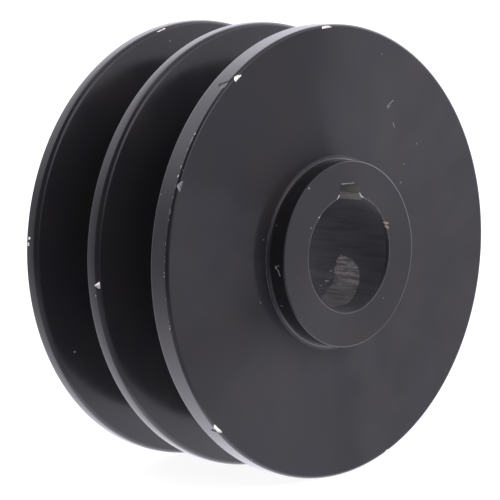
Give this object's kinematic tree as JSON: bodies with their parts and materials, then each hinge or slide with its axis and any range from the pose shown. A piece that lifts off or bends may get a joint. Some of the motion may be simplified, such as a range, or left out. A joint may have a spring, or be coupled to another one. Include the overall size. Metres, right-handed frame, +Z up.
{
  "type": "v-belt pulley",
  "caption": "Flat-faced V-belt pulley with side-by-side belt grooves, a short collar and a keyed bore; drives belts from a shaft, in worn black coating.",
  "frame": {"origin": "on the axis of the bore, halfway along the hub, which is the centre of the bounding box", "axes": "+Y along the axis from the collar side to the rear, +Z up through the keyway, +X to the right seen from the collar side"},
  "size_m": [0.0776, 0.0388, 0.0776],
  "materials": {
    "flange_coating": "semi-gloss black dip coating over steel, chipped to bare metal on the rim edges",
    "groove_coating": "satin black dip coating over steel",
    "hub_coating": "semi-gloss black dip coating over steel, worn to brown metal inside the bore"
  },
  "bodies": {
    "root": {"hub": "hub_coating", "front_flange": "flange_coating", "front_groove_core": "groove_coating", "centre_flange": "flange_coating", "rear_groove_core": "groove_coating", "rear_flange": "flange_coating"}
  },
  "joints": []
}
